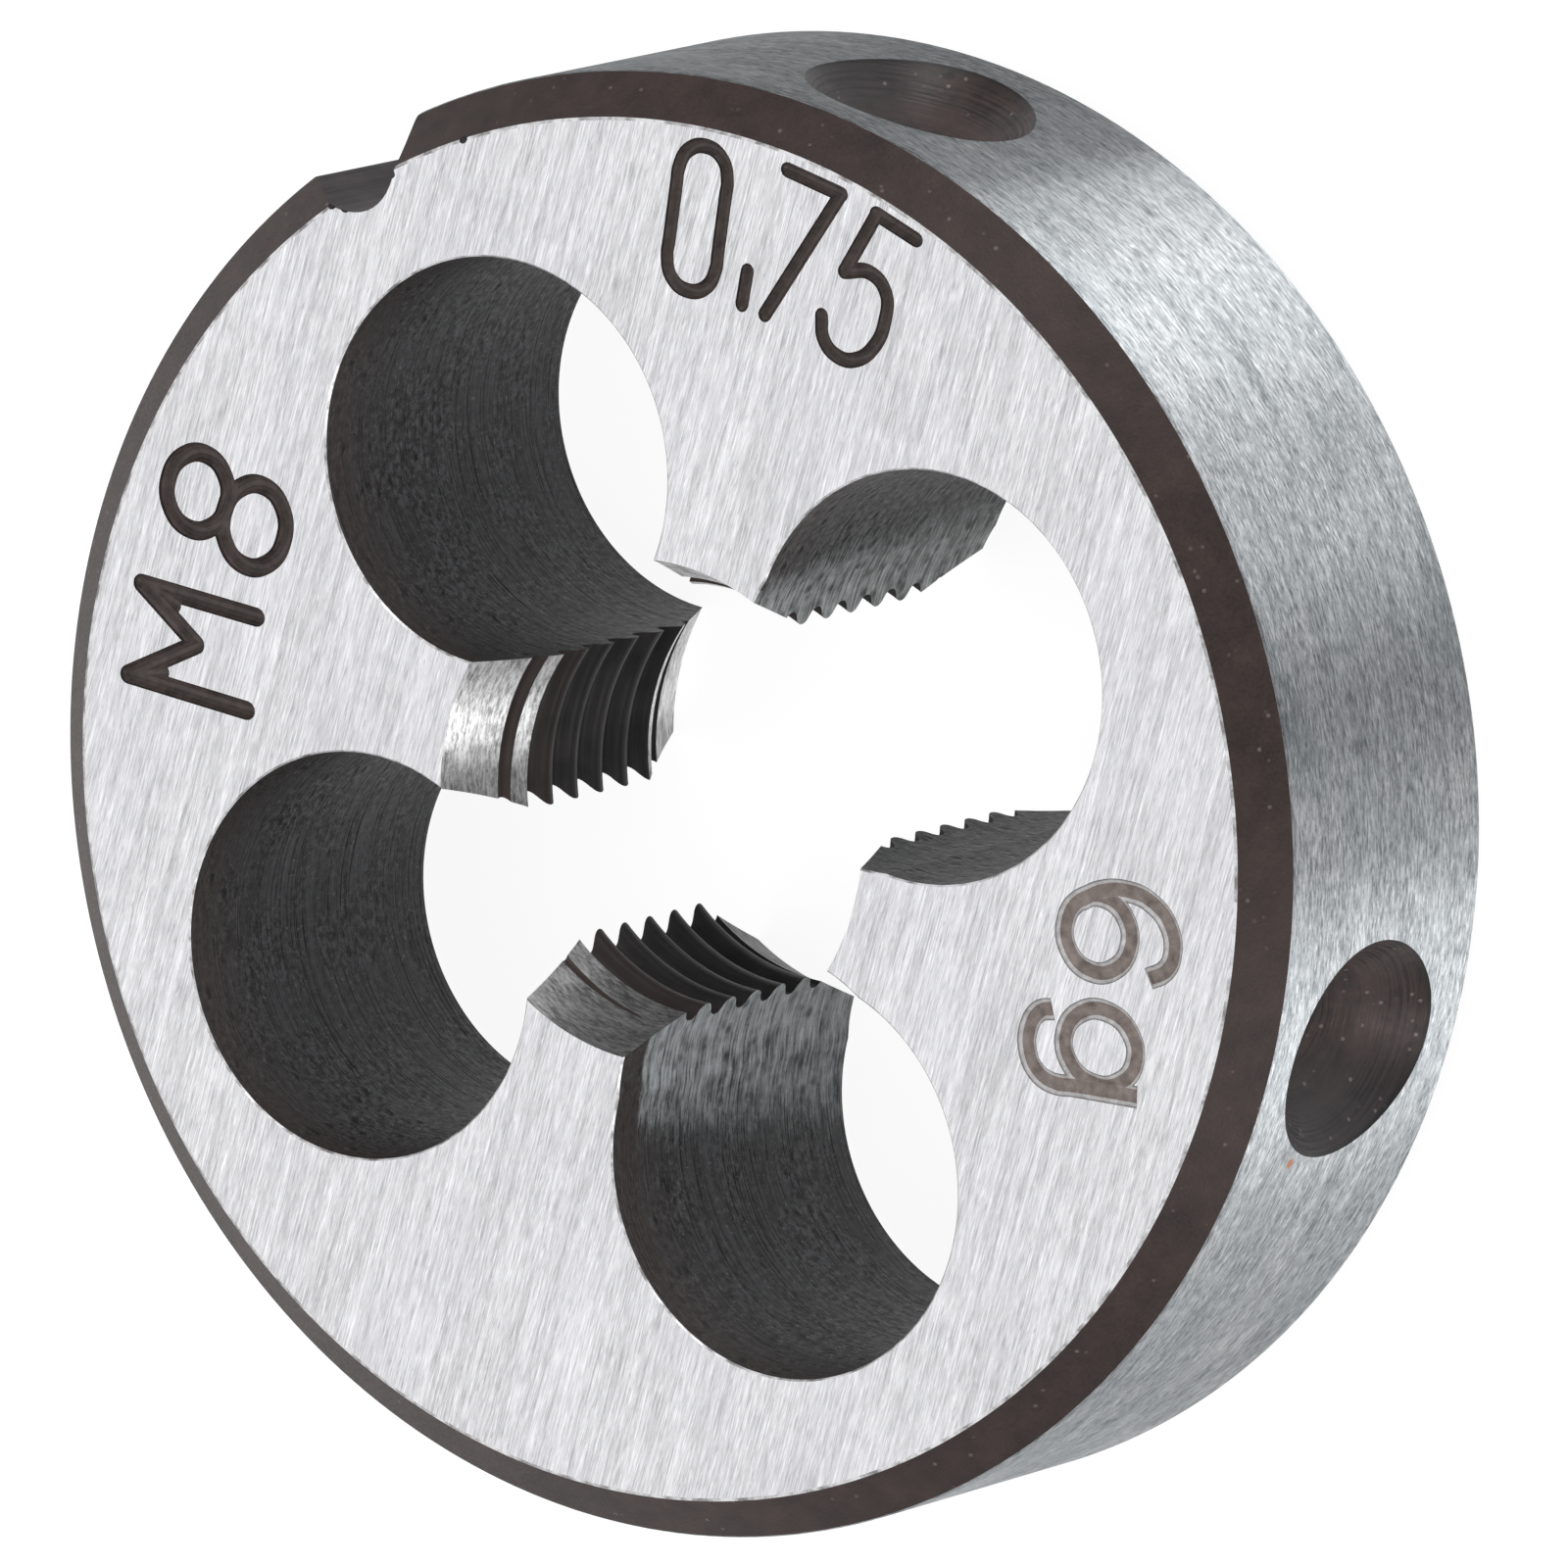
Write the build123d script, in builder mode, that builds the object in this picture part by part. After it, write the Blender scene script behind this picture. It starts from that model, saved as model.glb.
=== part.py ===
"""Round threading die for M8 x 0.75, lying on its plain back face with its marked face up.

Millimetres and degrees. The origin is the centre of the back face, on the thread's axis. +Z goes
out of the marked face and +Y through the middle of the vee notch in the rim.
"""

import os
from math import ceil, radians, sin, tan

from build123d import *

# Disc
rim_diameter = 25.0
thickness = 7.0
chamfer_width = 0.75  # across each face
chamfer_height = 0.65  # along the rim

# Thread that the die cuts
thread_diameter = 8.0
thread_pitch = 0.75
thread_angle = 60.0  # between the flanks
crest_share = 5 / 8  # of the sharp thread's height is left between crest and root
root_share = 1 / 8  # of the pitch is flat at the bottom of the grooves between the teeth
groove_height = 0.26  # of a groove's middle above the back face, on +X

# Lead cones that start the thread, one at each face
lead_diameter = 8.6
lead_depth = 1.75

# Chip holes, which leave the cutting lands between them
chip_hole_count = 4
chip_hole_diameter = 7.0
chip_circle_diameter = 13.0
chip_circle_turn = -3.2  # of the hole nearest to +X, from +X
chip_circle_shift = -0.26  # along X: the holes were drilled a little off the thread's axis

# Hollows: from these chip holes a grinding pin went on towards the thread's axis and cut back the
# ends of the lands. The first chip hole, nearest to +X, is number 0.
hollowed_holes = (0, 3)
hollow_diameter = 6.0
hollow_depth = 0.4  # past the chip hole's wall

# Vee notch for the spreading screw
notch_angle = 60.0  # between its sides
notch_depth = 1.04
notch_root_radius = 1.1

# Conical seats for the holding screws
seat_diameter = 4.2
seat_angle = 90.0  # of the whole cone
seat_height = 3.62  # of its middle above the back face
seat_turns = (45.0, 135.8)  # to each side of the notch

rim_radius = rim_diameter / 2
face_radius = rim_radius - chamfer_width
lead_radius = lead_diameter / 2
thread_radius = thread_diameter / 2
flank_slope = tan(radians(thread_angle / 2))
crest_radius = thread_radius - crest_share * thread_pitch / 2 / flank_slope
root_flat = root_share * thread_pitch
hollow_reach = chip_hole_diameter / 2 + hollow_depth - hollow_diameter / 2
overcut = 0.1  # by which a cutter starts clear of the skin that it cuts

# A ridge as long as one land, which cuts the groove between two teeth. It is made about +X, at
# the height of the back face, and follows the thread's helix.
land_step = 360 / chip_hole_count
ridge_span = 0.7 * land_step  # from chip hole to chip hole, past both sides of the land
ridge_rise = thread_pitch * ridge_span / 360
ridge_foot = -ridge_rise / 2
ridge_inner_radius = crest_radius - overcut
ridge_mouth = root_flat + 2 * (thread_radius - ridge_inner_radius) * flank_slope

with BuildPart() as ridge:
    with BuildLine():
        Helix(thread_pitch, ridge_rise, thread_radius, center=(0, 0, ridge_foot))
    with BuildSketch(Plane.XZ):
        with BuildLine():
            Polyline(
                (ridge_inner_radius, ridge_foot - ridge_mouth / 2),
                (thread_radius, ridge_foot - root_flat / 2),
                (thread_radius, ridge_foot + root_flat / 2),
                (ridge_inner_radius, ridge_foot + ridge_mouth / 2),
                close=True,
            )
        make_face()
    sweep(is_frenet=True)

groove_places = []
for land in range(chip_hole_count):
    land_turn = chip_circle_turn + (land + 0.5) * land_step
    land_groove_height = groove_height + thread_pitch * land_turn / 360
    lowest_groove = land_groove_height % thread_pitch - thread_pitch
    for groove in range(ceil(thickness / thread_pitch) + 2):
        height = lowest_groove + groove * thread_pitch
        groove_places.append(Location((0, 0, height), (0, 0, land_turn - ridge_span / 2)))

with BuildPart() as die_body:
    # Disc with chamfered rim, bore and lead cones, all turned about the thread's axis
    with BuildSketch(Plane.XZ):
        with BuildLine():
            Polyline(
                (lead_radius, 0),
                (face_radius, 0),
                (rim_radius, chamfer_height),
                (rim_radius, thickness - chamfer_height),
                (face_radius, thickness),
                (lead_radius, thickness),
                (crest_radius, thickness - lead_depth),
                (crest_radius, lead_depth),
                close=True,
            )
        make_face()
    revolve(axis=Axis.Z)

    # Chip holes
    with BuildSketch(Plane.XY):
        with Locations((chip_circle_shift, 0)):
            with PolarLocations(chip_circle_diameter / 2, chip_hole_count, chip_circle_turn):
                Circle(chip_hole_diameter / 2)
    extrude(amount=thickness, mode=Mode.SUBTRACT)

    # Hollows at the ends of the lands
    with BuildSketch(Plane.XY):
        for hole in hollowed_holes:
            hole_turn = chip_circle_turn + hole * land_step
            hole_centre = Vector(chip_circle_diameter / 2, 0, 0).rotate(Axis.Z, hole_turn)
            hole_centre += Vector(chip_circle_shift, 0, 0)
            with Locations(hole_centre - hole_centre.normalized() * hollow_reach):
                Circle(hollow_diameter / 2)
    extrude(amount=thickness, mode=Mode.SUBTRACT)

    # Thread on the lands
    with Locations(*groove_places):
        add(ridge.part, mode=Mode.SUBTRACT)

    # Vee notch: two sides that meet below its round root
    notch_slope = tan(radians(notch_angle / 2))
    notch_root_rise = notch_root_radius / sin(radians(notch_angle / 2)) - notch_root_radius
    notch_apex = rim_radius - notch_depth - notch_root_rise
    notch_mouth = rim_radius + overcut
    notch_half_width = (notch_mouth - notch_apex) * notch_slope
    with BuildSketch(Plane.XY):
        with BuildLine():
            Polyline(
                (0, notch_apex),
                (notch_half_width, notch_mouth),
                (-notch_half_width, notch_mouth),
                close=True,
            )
        make_face()
        fillet(vertices().sort_by(Axis.Y)[0], notch_root_radius)
    extrude(amount=thickness, mode=Mode.SUBTRACT)

    # Screw seats: cones whose tips point at the thread's axis
    seat_slope = tan(radians(seat_angle / 2))
    seat_depth = seat_diameter / 2 / seat_slope
    for turn in seat_turns:
        for side in (-1, 1):
            outward = Vector(0, 1, 0).rotate(Axis.Z, side * turn)
            mouth_centre = outward * (rim_radius + overcut) + Vector(0, 0, seat_height)
            with Locations(Plane(origin=mouth_centre, z_dir=-outward)):
                Cone(
                    (seat_depth + overcut) * seat_slope,
                    0,
                    seat_depth + overcut,
                    align=(Align.CENTER, Align.CENTER, Align.MIN),
                    mode=Mode.SUBTRACT,
                )

os.makedirs("parts", exist_ok=True)
die_body.part.label = "die_body"
export_step(die_body.part, "parts/die_body.step")
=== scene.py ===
"""Looks of the round threading die: one machined piece of hardened steel, on a pale studio floor.

Metres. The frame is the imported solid's own: its origin is the middle of the back face, +Z goes
out of the marked face and +Y through the vee notch.
"""

from math import atan2, cos, degrees, pi, radians, sin, sqrt, tan

import bpy
from mathutils import Matrix, Vector


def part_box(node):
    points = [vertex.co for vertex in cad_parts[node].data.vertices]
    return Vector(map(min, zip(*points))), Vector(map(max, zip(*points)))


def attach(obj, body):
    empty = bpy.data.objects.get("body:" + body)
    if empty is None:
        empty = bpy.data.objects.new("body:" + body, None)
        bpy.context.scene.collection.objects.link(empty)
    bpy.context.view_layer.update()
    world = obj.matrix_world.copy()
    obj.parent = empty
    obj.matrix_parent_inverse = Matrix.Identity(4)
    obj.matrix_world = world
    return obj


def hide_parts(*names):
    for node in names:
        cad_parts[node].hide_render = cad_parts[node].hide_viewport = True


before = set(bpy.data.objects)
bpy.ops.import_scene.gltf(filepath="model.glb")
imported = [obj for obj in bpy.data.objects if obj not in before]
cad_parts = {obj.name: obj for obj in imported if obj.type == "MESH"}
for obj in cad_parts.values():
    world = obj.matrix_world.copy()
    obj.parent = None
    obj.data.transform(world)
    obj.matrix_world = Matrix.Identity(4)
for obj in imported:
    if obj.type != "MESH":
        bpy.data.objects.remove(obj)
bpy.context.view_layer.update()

MM = 0.001

# Disc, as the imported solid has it
die_low, die_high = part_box("die_body")
rim_radius = die_high.x
thickness = die_high.z - die_low.z
chamfer_width = 0.75 * MM  # across each face
chamfer_height = 0.65 * MM  # along the rim
face_radius = rim_radius - chamfer_width
worn_edge = 0.03 * MM  # the small flat where an edge isn't quite sharp
rim_sides = 256
merge_distance = 0.0004 * MM
overcut = 0.6 * MM  # by which a cutter stands out of the steel

# Thread that the die cuts
thread_radius = 4 * MM
thread_pitch = 0.75 * MM
thread_angle = 60
crest_share = 5 / 8  # of the sharp thread's height is left between crest and root
root_share = 1 / 8  # of the pitch is flat at the bottom of a groove
groove_height = 0.26 * MM  # of a groove's middle above the back face, on +X
thread_sides = 144
flank_slope = tan(radians(thread_angle / 2))
crest_wear = 0.04 * MM  # by which the tips of the teeth are worn
crest_radius = thread_radius - crest_share * thread_pitch / 2 / flank_slope + crest_wear
crest_rounding = 0.19 * MM
root_rounding = 0.18 * MM
ridge_overcut = 0.1 * MM  # by which the ridge reaches past the crests, towards the axis
spare_turns = 2  # of the ridge below the steel, and as many above it

# Lead cones that start the thread, one at each face
lead_radius = 4.3 * MM
lead_depth = 1.75 * MM

# Chip holes
chip_hole_count = 4
chip_hole_radius = 3.5 * MM
chip_circle_radius = 6.5 * MM
chip_circle_turn = -3.2  # of the hole nearest to +X
chip_circle_shift = -0.26 * MM  # along X, because the holes were drilled off the thread's axis
chip_hole_sides = 160

# Hollows: from these chip holes a grinding pin went on towards the thread's axis and cut back the
# ends of the lands. The first chip hole, nearest to +X, is number 0.
hollowed_holes = (0, 3)
hollow_radius = 3 * MM
hollow_depth = 0.4 * MM  # past the chip hole's wall
hollow_sides = 144

# Vee notch for the spreading screw
notch_angle = 60
notch_depth = 1.04 * MM
notch_root_radius = 1.1 * MM
notch_corner = 0.15 * MM  # radius of its corners at the rim

# Nicks in the edge of the marked face, beside the notch: place across and along, in mm, and radius
nicks = (
    (-0.73, 11.77, 0.12),
    (-0.5, 11.6, 0.12),
    (-0.12, 11.49, 0.07),
    (0.32, 11.53, 0.08),
    (0.64, 11.66, 0.08),
    (2.276, 11.56, 0.1),
)

# Conical seats for the holding screws
seat_radius = 2.1 * MM
seat_height = 3.62 * MM  # of the middle above the back face
seat_turns = (45, 135.8)  # to each side of the notch
seat_sides = 96

# How light the steel is round the axis, in pairs of a turn in degrees and a grey: painted reflections
# of the studio on the rim, and painted highlights on the lead cones, which are duller on some lands
rim_reflection_bands = (
    (-180, 0.8),
    (-140, 1.0),
    (-100, 0.9),
    (-80, 0.84),
    (-62, 0.97),
    (-45, 1.15),
    (-36, 1.24),
    (-28, 0.85),
    (-18, 0.66),
    (-4, 1.25),
    (12, 1.4),
    (28, 0.86),
    (33, 0.5),
    (50, 0.43),
    (58, 0.46),
    (70, 0.52),
    (95, 0.85),
    (130, 1.0),
    (160, 0.75),
    (180, 0.8),
)
# painted highlights and shade on the lead cones, by turn round the axis
cone_highlight_bands = (
    (-180, 0.6),
    (-165, 0.36),
    (-110, 0.36),
    (-90, 0.9),
    (90, 1.0),
    (105, 1.15),
    (138, 1.15),
    (150, 0.7),
    (180, 0.5),
)

# Rust spot on the rim, in mm
rust_spot = (7.237, -10.192, 4.73)
rust_radius = 0.12

# Turn of the strokes on the marked face, from +X
brush_turn = 43

# Places of the marks: turn from +X, and the way from the axis to the middle of the mark
diameter_mark_at = (132, 9.6 * MM)
pitch_mark_at = (39, 9.9 * MM)
class_mark_at = (-44, 9.2 * MM)

# Depth and width of the engraved marks
diameter_tool_radius = 0.17 * MM
pitch_tool_radius = 0.135 * MM
round_tool_lift = 0.01 * MM  # of the round tool's middle above the face
class_bottom_half = 0.115 * MM  # half the width of the flat tool's tip
class_top_half = 0.19 * MM  # half its width at the face
class_depth = 0.05 * MM
stroke_step = 0.0006 * MM  # between strokes that cross, so that their bottoms don't share a plane

# Camera at the place that the photograph was taken from
camera_turn = -13.06  # about Z from +X
camera_rise = 54.775  # above the floor
camera_roll = -104.01
camera_distance = 396.7 * MM
camera_sensor = 36  # mm across
camera_lens = 543.2  # mm
aim_point = (2.720 * MM, -0.728 * MM, thickness)

# Studio
floor_size = 1.6
floor_grey = 0.28
floor_glow = 0.9  # that only the camera and mirrors see
room_grey = (0.5, 0.5, 0.51, 1)
smooth_below = 18  # degrees between faces that are shaded as one


# Workshop: the few moves that every cut is made of


def shown_alone(piece):
    """Makes the piece the only selected one, which the next operators act on."""
    bpy.ops.object.select_all(action="DESELECT")
    piece.select_set(True)
    bpy.context.view_layer.objects.active = piece


def deselect_mesh(piece, kind):
    """Deselects all of the mesh, before elements of one kind are selected."""
    shown_alone(piece)
    bpy.ops.object.mode_set(mode="EDIT")
    bpy.ops.mesh.select_mode(type=kind)
    bpy.ops.mesh.select_all(action="DESELECT")
    bpy.ops.object.mode_set(mode="OBJECT")


def select_faces(piece, wanted):
    """Goes to edit mode with the faces selected whose middle and normal the test wants."""
    deselect_mesh(piece, "FACE")
    for face in piece.data.polygons:
        face.select = wanted(face.center, face.normal)
    bpy.ops.object.mode_set(mode="EDIT")


def select_edges(piece, wanted):
    """Goes to edit mode with the edges selected whose two ends the test wants."""
    deselect_mesh(piece, "EDGE")
    corners = piece.data.vertices
    for edge in piece.data.edges:
        edge.select = all(wanted(corners[corner].co) for corner in edge.vertices)
    bpy.ops.object.mode_set(mode="EDIT")


def select_whole(piece):
    """Goes to edit mode with all of the piece selected."""
    shown_alone(piece)
    bpy.ops.object.mode_set(mode="EDIT")
    bpy.ops.mesh.select_all(action="SELECT")


def leave_edit():
    """Goes back to object mode."""
    bpy.ops.object.mode_set(mode="OBJECT")


def settle(piece, place=None):
    """Puts the piece at its place, with the place in its mesh and its origin at the frame's."""
    shown_alone(piece)
    bpy.ops.object.transform_apply()
    if place is not None:
        piece.matrix_world = place
        bpy.ops.object.transform_apply()
    return piece


def cylinder(name, radius, low, high, sides):
    """A plain cylinder about Z, from one height to another."""
    bpy.ops.mesh.primitive_cylinder_add(
        vertices=sides, radius=radius, depth=high - low, location=(0, 0, (low + high) / 2)
    )
    piece = bpy.context.object
    piece.name = name
    return settle(piece)


def draw_out(step):
    """Extrudes what is selected by this step."""
    bpy.ops.mesh.extrude_region_move(TRANSFORM_OT_translate={"value": step})


def widen_ends(piece, radius, rise, new_radius):
    """Draws both end faces out along Z and scales them, so the cylinder ends in two cones."""
    wider = new_radius / radius
    for up in (1, -1):
        end = max(corner.co.z * up for corner in piece.data.vertices) * up
        select_faces(piece, lambda middle, normal: normal.z * up > 0.99)
        draw_out((0, 0, up * rise))
        bpy.ops.transform.resize(value=(wider, wider, 1), center_override=(0, 0, end + up * rise))
        leave_edit()


def copy_at(piece, place):
    """A copy of the piece with a mesh of its own, at another place."""
    shown_alone(piece)
    bpy.ops.object.duplicate(linked=False)
    twin = bpy.context.object
    return settle(twin, place)


def close_up(piece):
    """Merges corners that lie on one another and turns the faces outwards."""
    select_whole(piece)
    bpy.ops.mesh.remove_doubles(threshold=merge_distance)
    bpy.ops.mesh.normals_make_consistent(inside=False)
    leave_edit()


def give_finish(piece, finish):
    """Puts one finish on the whole piece."""
    piece.data.materials.clear()
    piece.data.materials.append(finish)
    return piece


def give_two_finishes(piece, wall, mouth):
    """Puts one finish on the upright walls and the other on the cones and ends."""
    for finish in (wall, mouth):
        piece.data.materials.append(finish)
    for side in piece.data.polygons:
        side.material_index = 1 if abs(side.normal.z) > 0.1 else 0


def cut(piece, cutters):
    """Cuts the cutters out of the piece. The new walls get the finish of the cutter."""
    tray = bpy.data.collections.new("cutters")
    for cutter in cutters:
        tray.objects.link(cutter)
    step = piece.modifiers.new("cut", "BOOLEAN")
    step.operation = "DIFFERENCE"
    step.operand_type = "COLLECTION"
    step.collection = tray
    step.solver = "EXACT"
    step.material_mode = "TRANSFER"
    shown_alone(piece)
    bpy.ops.object.modifier_apply(modifier=step.name)
    for cutter in cutters:
        bpy.data.objects.remove(cutter)
    bpy.data.collections.remove(tray)


# Finishes


def shade(red, green, painted_sheen):
    """A colour as a screen shows it, 0 to 255, turned into the linear one that a shader takes."""
    linear = []
    for part in (red / 255, green / 255, painted_sheen / 255):
        linear.append(part / 12.92 if part < 0.04 else ((part + 0.055) / 1.055) ** 2.4)
    return linear + [1]


class Finish:
    """One finish of the steel, and short names for the nodes that draw it. Sizes are in mm."""

    def __init__(self, name, metal, roughness):
        self.material = bpy.data.materials.new(name)
        self.material.use_nodes = True
        self.tree = self.material.node_tree
        self.shader = self.tree.nodes["Principled BSDF"]
        self.shader.inputs["Metallic"].default_value = metal
        self.shader.inputs["Roughness"].default_value = roughness

    def add(self, kind, inputs, **settings):
        """A node with its settings and with values or links on its inputs."""
        new = self.tree.nodes.new("ShaderNode" + kind)
        for name, value in settings.items():
            setattr(new, name, value)
        for name, value in inputs.items():
            self.feed(new.inputs[name], value)
        return new

    def feed(self, socket, value):
        """Links a socket to another node's output, or sets its own value."""
        if isinstance(value, bpy.types.NodeSocket):
            self.tree.links.new(value, socket)
        else:
            socket.default_value = value

    def place(self, size=(1, 1, 1), turn=0, centre=(0, 0, 0)):
        """Place on the die, counted in marks of this size, along turned axes from a centre."""
        spot = self.add("TexCoord", {})
        where = {
            "Vector": spot.outputs["Object"],
            "Location": [part * MM for part in centre],
            "Rotation": (0, 0, radians(turn)),
            "Scale": [part * MM for part in size],
        }
        return self.add("Mapping", where, vector_type="TEXTURE").outputs["Vector"]

    def grain(self, size, turn=0, centre=(0, 0, 0), detail=2.0, rough=0.5):
        """Uneven marks of about this size, from 0 to 1."""
        inputs = {
            "Vector": self.place(size, turn, centre),
            "Scale": 1.0,
            "Detail": detail,
            "Roughness": rough,
        }
        return self.add("TexNoise", inputs).outputs["Fac"]

    def pits(self, size, share):
        """Small round spots, 1 in the middle of a spot and 0 between them."""
        cells = self.add("TexVoronoi", {"Vector": self.place(size), "Scale": 1.0})
        lots = self.add("SeparateColor", {0: cells.outputs["Color"]}).outputs[0]
        chosen = self.rescale(lots, share, share - 0.02)
        return self.times(self.rescale(cells.outputs["Distance"], 0.45, 0.15), chosen)

    def part(self, axis, turn=0, centre=(0, 0, 0)):
        """One coordinate in mm."""
        return self.add("SeparateXYZ", {0: self.place((1, 1, 1), turn, centre)}).outputs[axis]

    def sum(self, one, other, operation="ADD"):
        """Two values worked into one."""
        return self.add("Math", {0: one, 1: other}, operation=operation).outputs[0]

    def times(self, one, other):
        """Two values multiplied."""
        return self.sum(one, other, "MULTIPLY")

    def mix(self, one, other, share):
        """Two patterns laid over each other. The share is the first one's."""
        return self.sum(self.times(one, share), self.times(other, 1 - share))

    def rescale(self, value, low, high, new_low=0.0, new_high=1.0):
        """The value moved from one range to another and stopped at its ends."""
        inputs = {0: value, 1: low, 2: high, 3: new_low, 4: new_high}
        return self.add("MapRange", inputs).outputs[0]

    def ramp(self, value, stops):
        """A grey for each place from 0 to 1, with smooth steps between the stops."""
        ramp = self.add("ValToRGB", {0: value})
        band = ramp.color_ramp
        band.interpolation = "EASE"
        while len(band.elements) < len(stops):
            band.elements.new(1)
        for element, (place, grey) in zip(band.elements, stops):
            element.position = place
            element.color = (grey, grey, grey, 1)
        return ramp.outputs[0]

    def blend(self, share, one, other):
        """One colour where the share is 0 and the other where it is 1."""
        inputs = {0: share, 6: one, 7: other}
        return self.add("Mix", inputs, data_type="RGBA").outputs[2]

    def colour(self, value):
        """The finish's colour."""
        self.feed(self.shader.inputs["Base Color"], value)

    def roughness(self, value):
        """The finish's roughness."""
        self.feed(self.shader.inputs["Roughness"], value)

    def brushed_round(self):
        """Gleams as steel does whose strokes run round the die's axis."""
        self.shader.inputs["Anisotropic"].default_value = 0.9
        self.shader.inputs["Anisotropic Rotation"].default_value = 0.25
        self.feed(self.shader.inputs["Tangent"], self.add("Tangent", {}, axis="Z").outputs[0])

    def round_light_bands(self, bands):
        """A grey that changes round the die's axis, from pairs of a turn and its grey: painted light
        and shade.
        """
        turn = self.times(self.sum(self.part(1), self.part(0), "ARCTAN2"), 180 / pi)
        stops = [((degree + 180) / 360, grey) for degree, grey in bands]
        return self.ramp(self.rescale(turn, -180, 180), stops)

    def darken(self, colour, grey):
        """The colour multiplied by a grey."""
        inputs = {0: 1.0, 6: colour, 7: grey}
        return self.add("Mix", inputs, data_type="RGBA", blend_type="MULTIPLY").outputs[2]

    def spot(self, middle, radius):
        """1 inside a small ragged spot and 0 outside it."""
        from_middle = self.add("VectorMath", {0: self.place(), 1: middle}, operation="DISTANCE")
        wobble = self.times(self.grain((0.1, 0.1, 0.1)), radius)
        ragged = self.sum(from_middle.outputs["Value"], wobble)
        return self.rescale(ragged, radius * 1.5, radius)

    def relief(self, *heights):
        """Fine relief: pairs of a height from 0 to 1 and its depth in mm."""
        normal = None
        for height, depth in heights:
            inputs = {"Height": height, "Distance": depth * MM, "Strength": 1.0}
            if normal is not None:
                inputs["Normal"] = normal
            normal = self.add("Bump", inputs).outputs["Normal"]
        self.feed(self.shader.inputs["Normal"], normal)


def ground_face():
    """Flat face, ground with straight strokes."""
    finish = Finish("ground_face", 1.0, 0.4)
    fine = finish.grain((0.5, 0.03, 1), brush_turn, detail=4, rough=0.75)
    broad = finish.grain((2.4, 0.13, 2), brush_turn, centre=(3, 5, 0), detail=2)
    long = finish.grain((3.2, 0.035, 1), brush_turn, centre=(2, 9, 0), detail=2)
    cloud = finish.grain((4, 2, 4), brush_turn, detail=2)
    tone = finish.sum(finish.times(fine, 0.6), finish.times(broad, 0.2))
    tone = finish.sum(tone, finish.times(long, 0.2))
    steel = finish.blend(finish.rescale(tone, 0.37, 0.63), shade(160, 160, 162), shade(234, 234, 236))
    gleams = finish.grain((0.4, 0.04, 1), brush_turn + 1.5, centre=(1, 7, 0), detail=1)
    steel = finish.blend(finish.rescale(gleams, 0.64, 0.76, 0.0, 0.5), steel, shade(250, 250, 252))
    scars = finish.grain((0.35, 0.045, 1), brush_turn - 2, centre=(6, 2, 0), detail=1)
    steel = finish.blend(finish.rescale(scars, 0.66, 0.78, 0.0, 0.6), steel, shade(140, 140, 144))
    clouds = finish.rescale(cloud, 0.3, 0.7, 0.0, 0.2)
    finish.colour(finish.blend(clouds, steel, shade(198, 198, 202)))
    finish.roughness(finish.rescale(tone, 0.3, 0.7, 0.46, 0.36))
    finish.relief((fine, 0.0025), (broad, 0.002))
    return finish.material


def ground_rim():
    """Rim, ground all round with short strokes along its circumference."""
    finish = Finish("ground_rim", 1.0, 0.42)
    fine = finish.grain((0.26, 0.26, 0.05), detail=4, rough=0.75)
    broad = finish.grain((1.6, 1.6, 0.3), detail=2)
    cloud = finish.grain((2.5, 2.5, 1.5), centre=(2, 6, 1), detail=2)
    tone = finish.mix(fine, broad, 0.8)
    steel = finish.blend(finish.rescale(tone, 0.37, 0.63), shade(126, 131, 134), shade(222, 224, 225))
    steel = finish.blend(finish.rescale(cloud, 0.35, 0.7, 0.0, 0.3), steel, shade(142, 152, 158))
    gleams = finish.grain((0.3, 0.3, 0.05), centre=(3, 1, 2), detail=1)
    steel = finish.blend(finish.rescale(gleams, 0.66, 0.76, 0.0, 0.7), steel, shade(240, 241, 242))
    scars = finish.grain((0.22, 0.22, 0.05), centre=(7, 2, 4), detail=1)
    steel = finish.blend(finish.rescale(scars, 0.68, 0.78, 0.0, 0.6), steel, shade(84, 90, 94))
    # painted reflections: the rim's colour is lightened and darkened in bands round the axis
    steel = finish.darken(steel, finish.round_light_bands(rim_reflection_bands))
    finish.colour(finish.blend(finish.spot(rust_spot, rust_radius), steel, shade(186, 138, 110)))
    finish.roughness(finish.rescale(tone, 0.3, 0.7, 0.6, 0.5))
    finish.relief((fine, 0.006), (broad, 0.002))
    finish.brushed_round()
    return finish.material


def edge_highlight_finish():
    """Worn edge where a hole meets a ground face, partly rubbed and painted near white as a
    highlight.
    """
    finish = Finish("worn_edge", 0.4, 0.4)
    wear = finish.rescale(finish.grain((0.3, 0.3, 0.3), detail=3, rough=0.6), 0.35, 0.6)
    # painted highlight: the edge is coloured near white, lighter than the face
    finish.colour(finish.blend(wear, shade(150, 147, 146), shade(252, 252, 253)))
    return finish.material


def black_oxide():
    """Brown-black skin that the hardened steel keeps where nothing was ground after."""
    finish = Finish("black_oxide", 0.25, 0.5)
    mottle = finish.grain((0.7, 0.7, 0.7), detail=5, rough=0.65)
    grit = finish.grain((0.06, 0.06, 0.06), detail=3, rough=0.7)
    tone = finish.mix(mottle, grit, 0.6)
    skin = finish.blend(finish.rescale(tone, 0.35, 0.65), shade(40, 29, 27), shade(68, 53, 49))
    specks = finish.pits((0.11, 0.11, 0.11), 0.03)
    finish.colour(finish.blend(finish.times(specks, 0.5), skin, shade(140, 130, 126)))
    finish.roughness(finish.rescale(grit, 0.3, 0.7, 0.42, 0.6))
    finish.relief((grit, 0.006))
    return finish.material


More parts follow.
